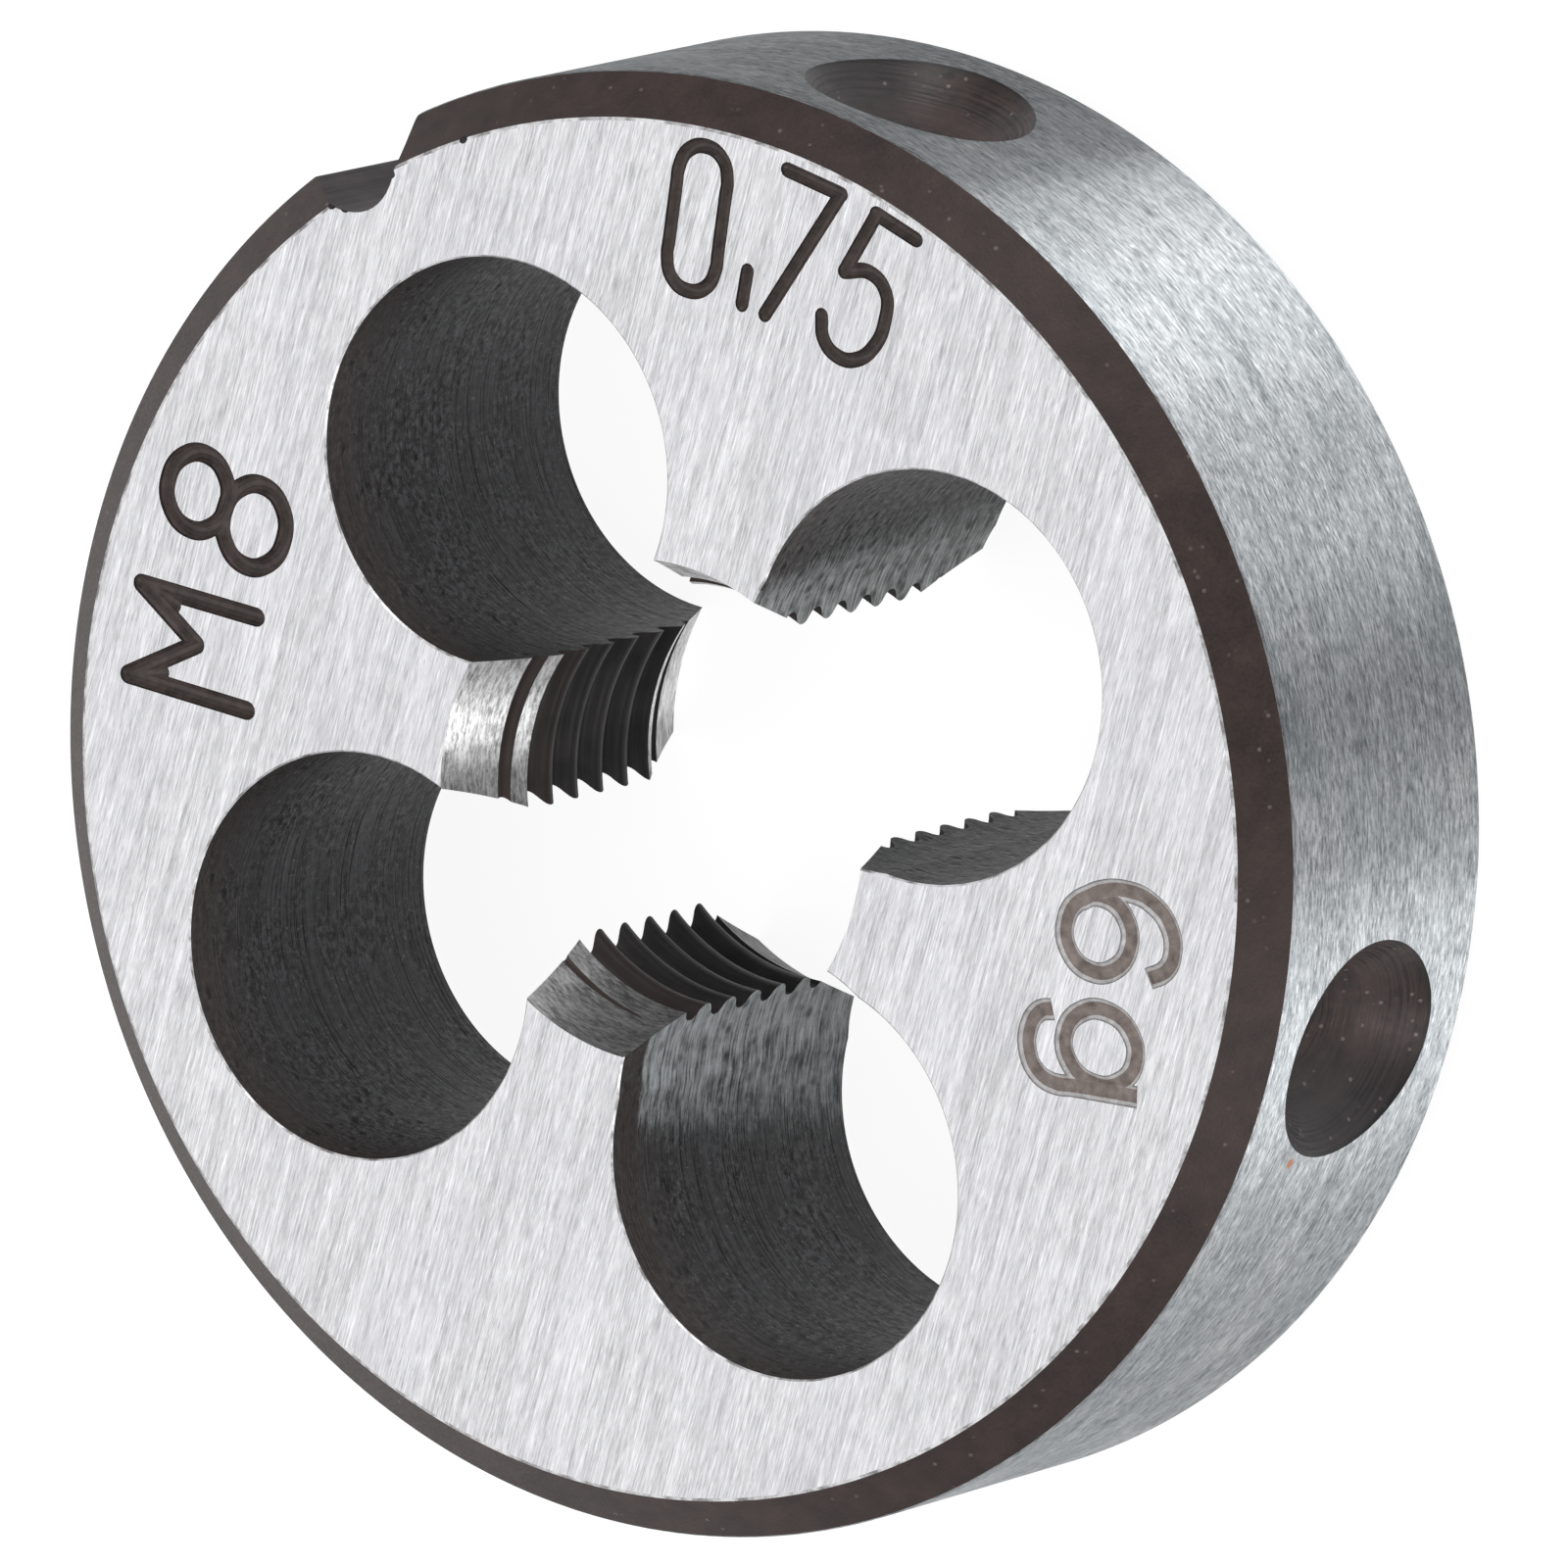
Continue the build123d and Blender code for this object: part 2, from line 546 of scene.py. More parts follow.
def chip_hole_wall(name, centre, inward_turn, zones, drilled_share):
    """Drilled and blackened wall of one chip hole, ground bright beside the lands.

    A zone is the side of the inward direction that it lies on, its width from that direction in
    degrees, the height that it reaches in mm, and its darkest and lightest colours. The drilled
    share keeps the drill's rings, and the rest looks like leather."""
    finish = Finish(name, 0.3, 0.45)
    strokes = finish.grain((1.4, 1.4, 0.05), detail=4, rough=0.65)
    bands = finish.grain((5, 5, 0.22), detail=2)
    leather = finish.grain((0.13, 0.13, 0.13), centre=(3, 7, 1), detail=3, rough=0.65)
    patches = finish.grain((1.3, 1.3, 1.0), centre=(8, 1, 4), detail=2)
    wear = finish.grain((0.5, 0.5, 0.12), centre=(1, 2, 3), detail=3, rough=0.6)
    streak = finish.grain((0.8, 0.8, 0.065), centre=(4, 2, 6), detail=4, rough=0.7)
    mottle = finish.grain((0.3, 0.3, 0.4), centre=(2, 8, 5), detail=3, rough=0.6)
    drilled = finish.mix(strokes, bands, 0.55)
    leathery = finish.rescale(patches, drilled_share - 0.08, drilled_share + 0.08)
    tone = finish.blend(leathery, drilled, leather)
    wall = finish.blend(finish.rescale(tone, 0.42, 0.61), shade(3, 3, 4), shade(62, 63, 67))
    rings = finish.grain((4, 4, 0.07), centre=(5, 2, 1), detail=1)
    lines = finish.rescale(rings, 0.36, 0.43, 0.85, 0.0)
    lines = finish.times(lines, finish.rescale(leathery, 0, 1, 1.0, 0.4))
    wall = finish.blend(lines, wall, shade(6, 6, 7))
    dust = finish.grain((0.07, 0.07, 0.07), centre=(9, 4, 2), detail=1)
    wall = finish.blend(finish.rescale(dust, 0.64, 0.74, 0.0, 0.6), wall, shade(112, 113, 116))
    height = finish.part(2)
    along = finish.part(0, inward_turn, centre)
    across = finish.part(1, inward_turn, centre)
    turn = finish.times(finish.sum(across, along, "ARCTAN2"), 180 / pi)
    ragged_height = finish.sum(height, finish.times(wear, 0.9))
    brown = finish.rescale(ragged_height, 5.4, 7.0, 0.0, 0.85)
    wall = finish.blend(brown, wall, shade(50, 40, 38))
    slant = finish.times(height, -2.0)
    for side, width, reach, dark, light in zones:
        from_land = finish.times(turn, side)
        ragged = finish.sum(from_land, finish.rescale(streak, 0.28, 0.72, -15, 15))
        ragged = finish.sum(ragged, slant, "SUBTRACT")
        inside = finish.rescale(ragged, width + 9, width + 4)
        inside = finish.times(inside, finish.rescale(from_land, 0, 1))
        ragged_reach = finish.sum(height, finish.times(mottle, 0.4))
        inside = finish.times(inside, finish.rescale(ragged_reach, reach + 0.26, reach + 0.14))
        mixed = finish.mix(streak, mottle, 0.75)
        fading = finish.sum(mixed, finish.rescale(from_land, 20, width, 0.05, -0.05))
        steel = finish.blend(finish.rescale(fading, 0.38, 0.62), dark, light)
        wall = finish.blend(inside, wall, steel)
    holes = finish.pits((0.3, 0.3, 0.3), 0.6)
    holes = finish.times(holes, finish.rescale(leathery, 0, 1, 0.1, 1.0))
    finish.colour(finish.blend(finish.times(holes, 0.8), wall, shade(14, 14, 15)))
    finish.roughness(finish.rescale(leather, 0.3, 0.7, 0.6, 0.42))
    finish.relief((tone, 0.012), (leather, 0.012), (finish.sum(holes, lines), -0.02))
    return finish.material


def chip_hole_walls():
    """Finishes for the walls of the four chip holes, in their order round the axis."""
    bright = (shade(58, 61, 63), shade(214, 219, 221))
    middling = (shade(72, 75, 76), shade(224, 227, 228))
    dull = (shade(22, 22, 23), shade(52, 54, 56))
    to_face = thickness / MM + 1
    zones = {
        "right": [(-1, 55, to_face, *middling), (1, 75, to_face, *dull)],
        "upper": [(-1, 52, 6.5, *dull), (1, 50, to_face, *middling)],
        "left": [(-1, 50, to_face, *middling), (1, 55, 6.5, *dull)],
        "lower": [(-1, 50, to_face, *dull), (1, 67, 6.3, *bright)],
    }
    walls = []
    for number, (side, side_zones) in enumerate(zones.items()):
        centre = chip_hole_centre(number)
        inward = degrees(atan2(-centre.y, -centre.x))
        middle = (centre.x / MM, centre.y / MM, 0)
        drilled_share = 0.3 if side == "right" else 0.5
        walls.append(chip_hole_wall("chip_hole_" + side, middle, inward, side_zones, drilled_share))
    return walls


def lead_cone_finish():
    """Lead cone, turned after the blackening: short bright strokes round the axis."""
    finish = Finish("lead_cone", 0.85, 0.4)
    fine = finish.grain((0.22, 0.22, 0.05), detail=4, rough=0.75)
    broad = finish.grain((0.7, 0.7, 0.3), detail=2)
    tone = finish.mix(fine, broad, 0.75)
    strokes = finish.rescale(tone, 0.38, 0.6)
    steel = finish.blend(strokes, shade(138, 137, 137), shade(252, 252, 252))
    # painted highlight: the cone is lightened where a lamp would gleam on it and darkened elsewhere
    finish.colour(finish.darken(steel, finish.round_light_bands(cone_highlight_bands)))
    finish.roughness(finish.rescale(tone, 0.3, 0.7, 0.55, 0.4))
    finish.relief((fine, 0.005), (broad, 0.003))
    finish.brushed_round()
    return finish.material


def thread_finish(name, dark, light, metal):
    """Teeth of the thread, with fine marks along the helix, browner towards the marked face."""
    finish = Finish(name, metal, 0.55)
    fine = finish.grain((1.5, 1.5, 0.04), detail=3, rough=0.6)
    mottle = finish.grain((0.6, 0.6, 0.6), detail=3)
    tone = finish.mix(fine, mottle, 0.5)
    steel = finish.blend(finish.rescale(tone, 0.35, 0.65), dark, light)
    brown = finish.rescale(finish.sum(finish.part(2), mottle), 4.6, 6.6, 0.0, 0.8)
    finish.colour(finish.blend(brown, steel, shade(62, 47, 43)))
    finish.roughness(finish.rescale(tone, 0.3, 0.7, 0.65, 0.5))
    finish.relief((fine, 0.004))
    return finish.material


def screw_seat_finish():
    """Drilled and blackened seat with the drill's rings. All seats match when both axes fold."""
    finish = Finish("screw_seat", 0.3, 0.45)
    folded_x = finish.sum(finish.part(0), 0.0, "ABSOLUTE")
    folded_y = finish.sum(finish.part(1), 0.0, "ABSOLUTE")
    depth = finish.times(finish.sum(folded_x, folded_y), sqrt(0.5))
    beside = finish.times(finish.sum(folded_y, folded_x, "SUBTRACT"), sqrt(0.5))
    wobble = finish.grain((0.8, 0.8, 0.8), detail=2)
    steps = {0: finish.times(depth, 9.0), 1: finish.times(wobble, 1.2)}
    rings_place = finish.add("CombineXYZ", steps).outputs[0]
    inputs = {"Vector": rings_place, "Scale": 1.0, "Detail": 2.0}
    rings = finish.add("TexNoise", inputs).outputs["Fac"]
    mottle = finish.grain((0.4, 0.4, 0.4), detail=5, rough=0.7)
    tone = finish.mix(rings, mottle, 0.5)
    skin = finish.blend(finish.rescale(tone, 0.35, 0.65), shade(18, 11, 10), shade(67, 50, 46))
    # painted reflection: a blue-grey sheen towards one end of each seat
    painted_sheen = finish.rescale(finish.sum(beside, mottle), 0.9, 1.9, 0.0, 0.6)
    skin = finish.blend(painted_sheen, skin, shade(49, 49, 52))
    specks = finish.pits((0.11, 0.11, 0.11), 0.06)
    skin = finish.blend(finish.times(specks, 0.5), skin, shade(150, 138, 132))
    across = finish.sum(finish.times(folded_x, folded_x), finish.times(folded_y, folded_y))
    from_axis = finish.sum(across, 0.5, "POWER")
    lip = finish.rescale(from_axis, rim_radius / MM - 0.09, rim_radius / MM - 0.03, 0.0, 0.7)
    finish.colour(finish.blend(lip, skin, shade(18, 15, 15)))
    finish.roughness(finish.rescale(tone, 0.3, 0.7, 0.5, 0.38))
    finish.relief((rings, 0.035))
    return finish.material


def notch_finish():
    """Milled and blackened notch."""
    finish = Finish("notch", 0.2, 0.6)
    finish.shader.inputs["Specular IOR Level"].default_value = 0.25
    marks = finish.grain((0.08, 0.08, 2.5), detail=3)
    mottle = finish.grain((0.7, 0.7, 0.7), detail=3)
    tone = finish.mix(marks, mottle, 0.5)
    skin = finish.blend(finish.rescale(tone, 0.35, 0.65), shade(34, 30, 31), shade(70, 64, 65))
    finish.colour(skin)
    finish.relief((marks, 0.006))
    return finish.material


def engraved_finish(name, dark, light, edge=0.0, shade_depth=0.075):
    """Engraved stroke, with painted shade by this share where its walls come up to the face."""
    finish = Finish(name, 0.2, 0.5)
    mottle = finish.grain((0.2, 0.2, 0.2), detail=5, rough=0.7)
    grit = finish.grain((0.05, 0.05, 0.05), detail=2)
    rim_depth = finish.sum(finish.part(2), -thickness / MM)
    # painted shade: the stroke is darkened just below the face, where its walls would be in shade
    painted_edge_shade = finish.rescale(rim_depth, -shade_depth, -shade_depth / 8, 0.0, edge)
    bottom = finish.blend(finish.rescale(mottle, 0.3, 0.7), dark, light)
    finish.colour(finish.blend(painted_edge_shade, bottom, shade(30, 25, 23)))
    finish.roughness(finish.rescale(grit, 0.3, 0.7, 0.42, 0.6))
    finish.relief((grit, 0.004))
    return finish.material


# Steel


def turned_disc(face, oxide, rim, edge):
    """The blank: a disc with a chamfer round each face and its edges a little worn."""
    disc = cylinder(
        "round_threading_die", rim_radius, chamfer_height, thickness - chamfer_height, rim_sides
    )
    widen_ends(disc, rim_radius, chamfer_height, face_radius)
    for ring_height in (0, chamfer_height, thickness - chamfer_height, thickness):
        select_edges(disc, lambda corner: abs(corner.z - ring_height) < worn_edge / 4)
        bpy.ops.mesh.bevel(offset=worn_edge, segments=1, affect="EDGES")
        leave_edit()
    for finish in (face, oxide, rim, edge):
        disc.data.materials.append(finish)
    for side in disc.data.polygons:
        flatness = abs(side.normal.z)
        if flatness > 0.95:  # marked or back face
            side.material_index = 0
        elif flatness > 0.8:  # its worn edge, painted near white as a highlight
            side.material_index = 3
        elif flatness > 0.5:  # chamfer
            side.material_index = 1
        else:  # rim and its worn edges
            side.material_index = 2
    return disc


def chip_hole_centre(number):
    """Where the numbered chip hole stands, in metres."""
    turn = radians(chip_circle_turn + number * 360 / chip_hole_count)
    middle = Vector((chip_circle_shift, 0, 0))
    return middle + chip_circle_radius * Vector((cos(turn), sin(turn), 0))


def lipped_drill(radius, sides, place, wall, lip):
    """An upright drill at a place, with a lip that breaks the edge at each face."""
    drill = cylinder("drill", radius, worn_edge, thickness - worn_edge, sides)
    flared = worn_edge + overcut
    widen_ends(drill, radius, flared, radius + flared)
    give_two_finishes(drill, wall, lip)
    return settle(drill, Matrix.Translation(place))


def chip_hole_cutters(walls, lip):
    """Drills for the chip holes."""
    return [
        lipped_drill(chip_hole_radius, chip_hole_sides, chip_hole_centre(number), wall, lip)
        for number, wall in enumerate(walls)
    ]


def hollow_cutters(walls, lip):
    """Grinding pins that cut back the ends of some lands."""
    reach = chip_hole_radius + hollow_depth - hollow_radius
    pins = []
    for number in hollowed_holes:
        centre = chip_hole_centre(number)
        place = centre - centre.normalized() * reach
        pins.append(lipped_drill(hollow_radius, hollow_sides, place, walls[number], lip))
    return pins


def bore_cutter(crest, cone):
    """Reamer for the bore, with a lead cone at each end."""
    reamer = cylinder("reamer", crest_radius, lead_depth, thickness - lead_depth, thread_sides)
    cone_rise = lead_depth + overcut
    cone_radius = crest_radius + (lead_radius - crest_radius) * cone_rise / lead_depth
    widen_ends(reamer, crest_radius, cone_rise, cone_radius)
    give_two_finishes(reamer, crest, cone)
    return reamer


def ridge_outline():
    """Half of the ridge's outline: radius and half width, from its rounded top to its mouth."""
    root_half = root_share * thread_pitch / 2
    sharp_top = thread_radius + root_half / flank_slope
    top_middle = sharp_top - root_rounding / sin(radians(thread_angle / 2))
    flat_half = thread_pitch / 2 - root_half - (thread_radius - crest_radius) * flank_slope
    flat_half -= crest_rounding * flank_slope
    outline = []
    for turn in (15, 30, 45, 60):
        half = root_rounding * sin(radians(turn))
        outline.append((top_middle + root_rounding * cos(radians(turn)), half))
    for turn in (60, 45, 30, 15, 0):
        half = thread_pitch / 2 - flat_half - crest_rounding * sin(radians(turn))
        outline.append((crest_radius + crest_rounding * (1 - cos(radians(turn))), half))
    mouth_half = outline[-1][1] * 1.01
    outline.append((crest_radius - ridge_overcut, mouth_half))
    return outline


def thread_cutter(finish):
    """A ridge wound in a right-hand helix, which cuts the grooves between the teeth."""
    start = groove_height - spare_turns * thread_pitch
    turns = int(thickness / thread_pitch) + 2 * spare_turns
    outline = ridge_outline()
    (top, half), (radius, next_half) = outline[:2]
    bpy.ops.mesh.primitive_plane_add(
        size=1, location=((top + radius) / 2, 0, start), rotation=(pi / 2, 0, 0)
    )
    ridge = bpy.context.object
    ridge.scale = (top - radius, 2 * half, 1)
    settle(ridge)
    select_edges(ridge, lambda corner: corner.x < (top + radius) / 2)
    bpy.ops.transform.resize(value=(1, 1, next_half / half), center_override=(radius, 0, start))
    leave_edit()
    half = next_half
    for next_radius, next_half in outline[2:]:
        select_edges(ridge, lambda corner: corner.x < radius + merge_distance)
        draw_out((next_radius - radius, 0, 0))
        bpy.ops.transform.resize(
            value=(1, 1, next_half / half), center_override=(next_radius, 0, start)
        )
        leave_edit()
        radius, half = next_radius, next_half
    select_whole(ridge)
    bpy.ops.mesh.dissolve_faces()
    bpy.ops.mesh.delete(type="ONLY_FACE")
    leave_edit()
    winding = ridge.modifiers.new("winding", "SCREW")
    winding.axis = "Z"
    winding.angle = 2 * pi
    winding.screw_offset = thread_pitch
    winding.iterations = turns
    winding.steps = thread_sides
    winding.render_steps = thread_sides
    winding.use_smooth_shade = False
    shown_alone(ridge)
    bpy.ops.object.modifier_apply(modifier=winding.name)
    select_whole(ridge)
    bpy.ops.mesh.fill_holes(sides=0)
    leave_edit()
    close_up(ridge)
    return give_finish(ridge, finish)


def notch_cutter(finish):
    """A three-sided bar with one rounded edge, which cuts the vee notch."""
    half_angle = radians(notch_angle / 2)
    apex = rim_radius - notch_depth - notch_root_radius / sin(half_angle) + notch_root_radius
    size = (rim_radius - apex) * 1.2
    bpy.ops.mesh.primitive_cylinder_add(
        vertices=3,
        radius=size,
        depth=thickness + 2 * overcut,
        location=(0, apex + size, thickness / 2),
        rotation=(0, 0, pi),
    )
    bar = settle(bpy.context.object)
    select_edges(bar, lambda corner: corner.y < apex + size / 100)
    bpy.ops.mesh.bevel(offset=notch_root_radius / tan(half_angle), segments=16, affect="EDGES")
    leave_edit()
    flare_mouth(bar, apex)
    return give_finish(bar, finish)


def flare_mouth(bar, apex):
    """Widens the bar where it comes out of the rim, so the notch's two corners there are round."""
    slope = tan(radians(notch_angle / 2))
    corner_half = (rim_radius - apex) * slope
    corner_rise = rim_radius - corner_half**2 / 2 / rim_radius
    corner_half = (corner_rise - apex) * slope
    between = 90 - notch_angle / 2 + degrees(corner_half / rim_radius)
    run = notch_corner * tan(radians(between / 2))
    here_half = corner_half - run * sin(radians(notch_angle / 2))
    here_rise = corner_rise - run * cos(radians(notch_angle / 2))
    select_whole(bar)
    bpy.ops.mesh.bisect(
        plane_co=(0, here_rise, 0), plane_no=(0, 1, 0), use_fill=True, clear_outer=True
    )
    leave_edit()
    arc_parts = 4
    chord = 2 * notch_corner * sin(radians(between / 2 / arc_parts))
    steps = []
    for number in range(arc_parts):
        turn = radians(notch_angle / 2 + between * (number + 0.5) / arc_parts)
        steps.append((chord * sin(turn), max(chord * cos(turn), chord / 50)))
    steps.append((overcut, overcut / 4))
    for outward, rise in steps:
        select_faces(bar, lambda middle, normal: normal.y > 0.99)
        draw_out((0, rise, 0))
        wider = (here_half + outward) / here_half
        bpy.ops.transform.resize(value=(wider, 1, 1), center_override=(0, here_rise + rise, 0))
        leave_edit()
        here_half += outward
        here_rise += rise


def nick_cutters(finish):
    """Flattened balls, each turned its own way, that nick the edge of the marked face."""
    balls = []
    for across, along, radius in nicks:
        bpy.ops.mesh.primitive_uv_sphere_add(
            segments=12,
            ring_count=7,
            radius=radius * MM,
            location=(across * MM, along * MM, thickness),
        )
        ball = bpy.context.object
        ball.scale = (1, 1, 0.5)
        ball.rotation_euler = (0.1, 0.07, across)
        balls.append(give_finish(settle(ball), finish))
    return balls


def seat_cutters(finish):
    """Countersinks for the screw seats, each along its own radius of the disc."""
    reach = 0.1 * MM
    tip = seat_radius + reach
    bpy.ops.mesh.primitive_cone_add(
        vertices=seat_sides,
        radius1=0,
        radius2=tip,
        depth=tip,
        location=(0, 0, rim_radius + reach - tip / 2),
    )
    countersink = settle(bpy.context.object)
    seats = []
    for side in (1, -1):
        for turn in seat_turns:
            round_axis = Matrix.Rotation(radians(180 + side * turn), 4, "Z")
            laid_down = Matrix.Rotation(pi / 2, 4, "X")
            place = Matrix.Translation((0, 0, seat_height)) @ round_axis @ laid_down
            seats.append(give_finish(copy_at(countersink, place), finish))
    bpy.data.objects.remove(countersink)
    return seats


# Thread-size marks, engraved with a round tool. Points are mm on the face, right and up


def mark_place(turn, distance):
    """Middle of a mark at this turn and distance, its top pointing outwards."""
    turned = Matrix.Rotation(radians(turn), 4, "Z")
    moved_out = Matrix.Translation((distance, 0, thickness))
    return turned @ moved_out @ Matrix.Rotation(-pi / 2, 4, "Z")


def tool_path(points, closed):
    """A curve through the points."""
    bpy.ops.curve.primitive_bezier_curve_add(location=(0, 0, 0))
    path = bpy.context.object
    line = path.data.splines[0]
    line.bezier_points.add(len(points) - 2)
    bends = "AUTO" if len(points) > 2 else "VECTOR"
    for (right, up), point in zip(points, line.bezier_points):
        point.co = (right * MM, up * MM, 0)
        point.handle_left_type = bends
        point.handle_right_type = bends
    line.use_cyclic_u = closed
    path.data.dimensions = "3D"
    path.data.twist_mode = "Z_UP"
    path.data.resolution_u = 12 if len(points) > 2 else 1
    path.data.render_resolution_u = path.data.resolution_u
    return path


def swept(path):
    """The path, thick as its tool, made a closed mesh."""
    shown_alone(path)
    bpy.ops.object.convert(target="MESH")
    stroke = bpy.context.object
    select_whole(stroke)
    bpy.ops.mesh.fill_holes(sides=0)
    leave_edit()
    close_up(stroke)
    return stroke


def round_stroke(points, closed, tool_radius):
    """The track of a round tool through the points."""
    path = tool_path(points, closed)
    path.data.bevel_depth = tool_radius
    path.data.bevel_resolution = 5
    return swept(path)


def flat_stroke(points, closed, tool):
    """The track of a flat tool's outline through the points."""
    path = tool_path(points, closed)
    path.data.bevel_mode = "OBJECT"
    path.data.bevel_object = tool
    return swept(path)


def flat_tool():
    """Outline of a tool with a flat bottom and slanting sides, as far above the face as below."""
    bpy.ops.curve.primitive_bezier_circle_add(location=(0, 0, 0))
    outline = bpy.context.object
    over_half = 2 * class_top_half - class_bottom_half
    corners = (
        (-class_bottom_half, -class_depth),
        (class_bottom_half, -class_depth),
        (over_half, class_depth),
        (-over_half, class_depth),
    )
    for (right, up), point in zip(corners, outline.data.splines[0].bezier_points):
        point.handle_left_type = "VECTOR"
        point.handle_right_type = "VECTOR"
        point.co = (right, up, 0)
    outline.data.resolution_u = 1
    outline.data.render_resolution_u = 1
    return outline


def round_ends(stroke, tool_radius):
    """Draws both flat ends of a stroke out into half balls."""
    ends = [face.center.copy() for face in stroke.data.polygons if len(face.vertices) > 4]
    for end in ends:
        here = end
        last_turn = 0
        for turn in (30, 60, 80):
            step = tool_radius * (sin(radians(turn)) - sin(radians(last_turn)))
            shrink = cos(radians(turn)) / cos(radians(last_turn))
            select_faces(stroke, lambda middle, normal: (middle - here).length < tool_radius / 50)
            leave_edit()
            chosen = [face for face in stroke.data.polygons if face.select]
            outward = chosen[0].normal * step
            bpy.ops.object.mode_set(mode="EDIT")
            draw_out(outward)
            here = here + outward
            bpy.ops.transform.resize(value=(shrink, shrink, shrink), center_override=here)
            leave_edit()
            last_turn = turn


def ring_points(middle, half_width, half_height, count=8):
    """Points round an upright oval."""
    points = []
    for number in range(count):
        turn = 2 * pi * number / count
        points.append((middle[0] + half_width * cos(turn), middle[1] + half_height * sin(turn)))
    return points


def stadium_points(middle, half_width, half_height, lean, count=5):
    """Points round an upright figure nought: straight sides between two half circles."""
    straight = (half_height - half_width) * 0.7
    points = []
    for up in (1, -1):
        for number in range(count):
            turn = pi * number / (count - 1)
            across = up * half_width * cos(turn)
            points.append((across, up * (half_height - half_width + half_width * sin(turn))))
        side = -up * half_width
        points.append((side, up * straight))
        points.append((side, -up * straight))
    leaning = Matrix.Rotation(radians(lean), 2)
    return [tuple(leaning @ Vector(point) + Vector(middle)) for point in points]


def round_strokes(place, tool_radius, lines, rings, finish):
    """Cutters for the strokes of one mark, made with a round tool held a little above the face."""
    strokes = []
    for points in lines:
        stroke = round_stroke(points, False, tool_radius)
        round_ends(stroke, tool_radius)
        strokes.append(stroke)
    for points in rings:
        strokes.append(round_stroke(points, True, tool_radius))
    raised = place @ Matrix.Translation((0, 0, round_tool_lift))
    for stroke in strokes:
        settle(stroke, raised)
        give_finish(stroke, finish)
    return strokes


def diameter_mark(finish):
    """M8: the thread's kind and diameter."""
    left_foot, left_top, middle, right_top, right_foot = (
        (-1.665, -1.40),
        (-2.05, 1.08),
        (-1.0, -0.08),
        (-0.44, 1.3),
        (-0.05, -1.1),
    )
    legs = [(left_foot, left_top), (left_top, middle), (middle, right_top), (right_top, right_foot)]
    corners = [(left_top, (-1.75, 0.45)), (right_top, (-0.53, 0.58))]
    waist = [((1.1, 0.1), (1.86, 0.07))]
    eyes = [ring_points((1.53, 0.70), 0.68, 0.63), ring_points((1.43, -0.57), 0.73, 0.645)]
    lines = legs + corners + waist
    place = mark_place(*diameter_mark_at)
    return round_strokes(place, diameter_tool_radius, lines, eyes, finish)


def pitch_mark(finish):
    """0,75: the thread's pitch."""
    nought = stadium_points((-2.735, -0.06), 0.5, 1.25, 12)
    comma = [(-1.5, -0.45), (-1.4, -1.02)]
    seven = [[(-1.38, 1.5), (-0.25, 1.58)], [(-0.262, 1.568), (-0.92, -0.98)]]
    five_flag = [[(1.38, 1.52), (0.5, 1.58)], [(0.51, 1.565), (0.27, 0.4)]]
    five_bowl = [
        (0.27, 0.4),
        (0.75, 0.6),
        (1.15, 0.42),
        (1.3, 0.0),
        (1.27, -0.5),
        (1.0, -0.9),
        (0.65, -1.0),
        (0.3, -0.85),
        (0.12, -0.5),
    ]
    lines = [comma, *seven, *five_flag, five_bowl]
    place = mark_place(*pitch_mark_at)
    return round_strokes(place, pitch_tool_radius, lines, [nought], finish)


def class_mark(bottom, border):
    """6g: the thread's tolerance class, cut with a flat tool."""
    six_bowl = ring_points((-1.0, -0.17), 0.65, 0.65)
    six_stem = [
        (-0.62, 0.98),
        (-0.85, 1.25),
        (-1.15, 1.33),
        (-1.6, 1.15),
        (-1.88, 0.7),
        (-1.9, 0.2),
        (-1.72, -0.3),
        (-1.45, -0.62),
    ]
    gee_bowl = ring_points((0.84, 0.34), 0.64, 0.72)
    gee_stem = [
        (1.4, 1.25),
        (1.52, 0.65),
        (1.64, 0.05),
        (1.74, -0.45),
        (1.66, -0.75),
        (1.42, -0.98),
        (1.0, -1.08),
        (0.65, -0.95),
        (0.52, -0.7),
    ]
    tool = flat_tool()
    strokes = [flat_stroke(points, False, tool) for points in (six_stem, gee_stem)]
    strokes += [flat_stroke(points, True, tool) for points in (six_bowl, gee_bowl)]
    bpy.data.objects.remove(tool)
    for number, stroke in enumerate(strokes):
        lift = Matrix.Translation((0, 0, number * stroke_step))
        settle(stroke, mark_place(*class_mark_at) @ lift)
        stroke.data.materials.append(bottom)
        stroke.data.materials.append(border)
        for face in stroke.data.polygons:
            face.material_index = 0 if face.normal.z < -0.9 else 1
    return strokes


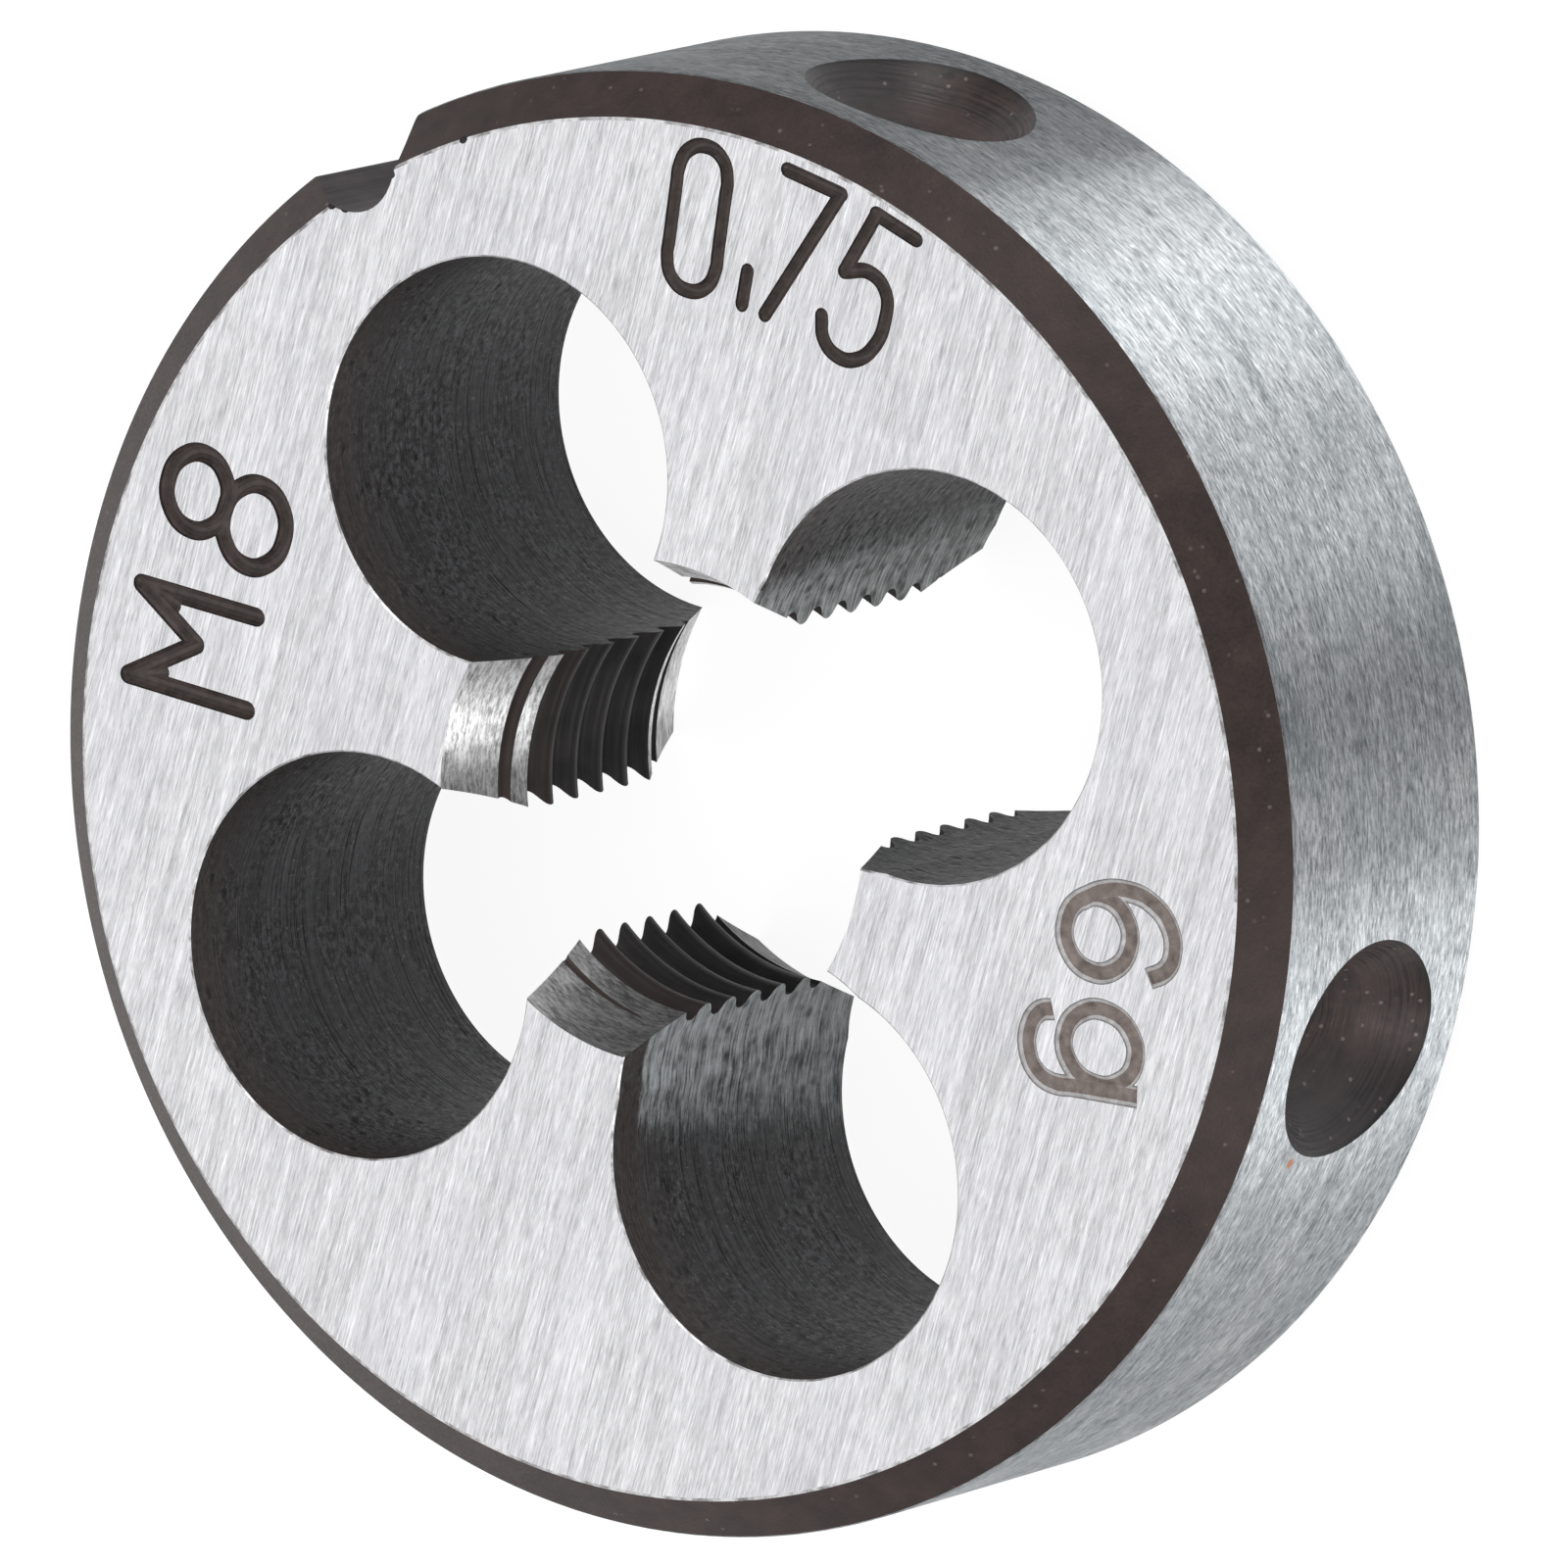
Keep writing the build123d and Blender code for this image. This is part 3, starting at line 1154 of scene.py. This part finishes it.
def make_die():
    """Turns, drills, threads and engraves the die as the real one is made."""
    face = ground_face()
    oxide = black_oxide()
    rim = ground_rim()
    lip = edge_highlight_finish()
    die = turned_disc(face, oxide, rim, lip)
    walls = chip_hole_walls()
    engraved = engraved_finish("engraved_deep", shade(50, 41, 39), shade(88, 76, 72), 0.85)
    etched = engraved_finish("engraved_flat", shade(88, 76, 71), shade(150, 138, 131))
    border_colours = (shade(160, 156, 153), shade(226, 225, 225))
    bevelled = engraved_finish("engraved_border", *border_colours, 0.8, 0.022)
    cut(die, chip_hole_cutters(walls, lip))
    cut(die, hollow_cutters(walls, lip))
    notch = notch_finish()
    cut(die, [notch_cutter(notch)])
    cut(die, nick_cutters(notch))
    cut(die, seat_cutters(screw_seat_finish()))
    crest = thread_finish("tooth_crest", shade(40, 38, 37), shade(82, 79, 77), 0.2)
    cut(die, [bore_cutter(crest, lead_cone_finish())])
    cut(die, diameter_mark(engraved) + pitch_mark(engraved) + class_mark(etched, bevelled))
    flank = thread_finish("tooth_flank", shade(24, 22, 22), shade(46, 42, 41), 0.15)
    cut(die, [thread_cutter(flank)])

    shown_alone(die)
    bpy.ops.object.shade_smooth_by_angle(angle=radians(smooth_below))
    return die


# Studio


def make_floor():
    """Pale floor, white to the camera, that keeps the die's soft shadow."""
    bpy.ops.mesh.primitive_plane_add(size=floor_size, location=(0, 0, 0))
    floor = bpy.context.object
    floor.name = "studio_floor"
    paint = bpy.data.materials.new("studio_floor")
    paint.use_nodes = True
    nodes, links = paint.node_tree.nodes, paint.node_tree.links
    nodes.remove(nodes["Principled BSDF"])
    matt = nodes.new("ShaderNodeBsdfDiffuse")
    matt.inputs["Color"].default_value = (floor_grey, floor_grey, floor_grey, 1)
    glow = nodes.new("ShaderNodeEmission")
    rays = nodes.new("ShaderNodeLightPath")
    seen = rays.outputs["Is Camera Ray"]
    for kind in ("Is Glossy Ray", "Is Transmission Ray"):
        either = nodes.new("ShaderNodeMath")
        either.operation = "MAXIMUM"
        links.new(seen, either.inputs[0])
        links.new(rays.outputs[kind], either.inputs[1])
        seen = either.outputs[0]
    level = nodes.new("ShaderNodeMath")
    level.operation = "MULTIPLY"
    level.inputs[1].default_value = floor_glow
    links.new(seen, level.inputs[0])
    links.new(level.outputs[0], glow.inputs["Strength"])
    both = nodes.new("ShaderNodeAddShader")
    links.new(matt.outputs[0], both.inputs[0])
    links.new(glow.outputs[0], both.inputs[1])
    links.new(both.outputs[0], nodes["Material Output"].inputs["Surface"])
    floor.data.materials.append(paint)


def softbox(name, turn, rise, distance, width, height, brightness):
    """A soft lamp that faces the die. Brightness 1 looks white in a mirror."""
    lamp = bpy.data.lights.new(name, "AREA")
    lamp.shape = "RECTANGLE"
    lamp.size = width
    lamp.size_y = height
    lamp.energy = brightness * pi * width * height
    box = bpy.data.objects.new(name, lamp)
    bpy.context.scene.collection.objects.link(box)
    lifted = Matrix.Rotation(-radians(rise), 3, "Y") @ Vector((1, 0, 0))
    outward = Matrix.Rotation(radians(turn), 3, "Z") @ lifted
    box.location = outward * distance
    box.rotation_euler = outward.to_track_quat("Z", "Y").to_euler()


def light_studio():
    """Even room light with soft lamps round the die."""
    world = bpy.data.worlds.new("studio")
    world.use_nodes = True
    room = world.node_tree.nodes["Background"]
    room.inputs["Color"].default_value = room_grey
    room.inputs["Strength"].default_value = 1.0
    bpy.context.scene.world = world
    softbox("over_face", turn=167, rise=55, distance=0.5, width=0.45, height=0.45, brightness=1)
    softbox("right_strip", turn=42, rise=14, distance=0.4, width=0.15, height=0.26, brightness=5)
    softbox("left_strip", turn=-64, rise=18, distance=0.4, width=0.085, height=0.34, brightness=6)


def set_camera():
    """The photograph's own view, from above the marked face."""
    camera = bpy.data.objects.new("camera", bpy.data.cameras.new("camera"))
    bpy.context.scene.collection.objects.link(camera)
    camera.data.sensor_width = camera_sensor
    camera.data.lens = camera_lens
    camera.data.clip_start = 0.01
    camera.data.clip_end = 10
    tilted = Matrix.Rotation(radians(90 - camera_rise), 4, "X")
    turned = Matrix.Rotation(radians(camera_turn + 90), 4, "Z") @ tilted
    back = turned @ Vector((0, 0, camera_distance))
    rolled = turned @ Matrix.Rotation(radians(camera_roll), 4, "Z")
    camera.matrix_world = Matrix.Translation(Vector(aim_point) + back) @ rolled
    bpy.context.scene.camera = camera


die = make_die()
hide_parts("die_body")
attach(die, "root")
make_floor()
light_studio()
set_camera()
bpy.context.scene.view_settings.view_transform = "Standard"
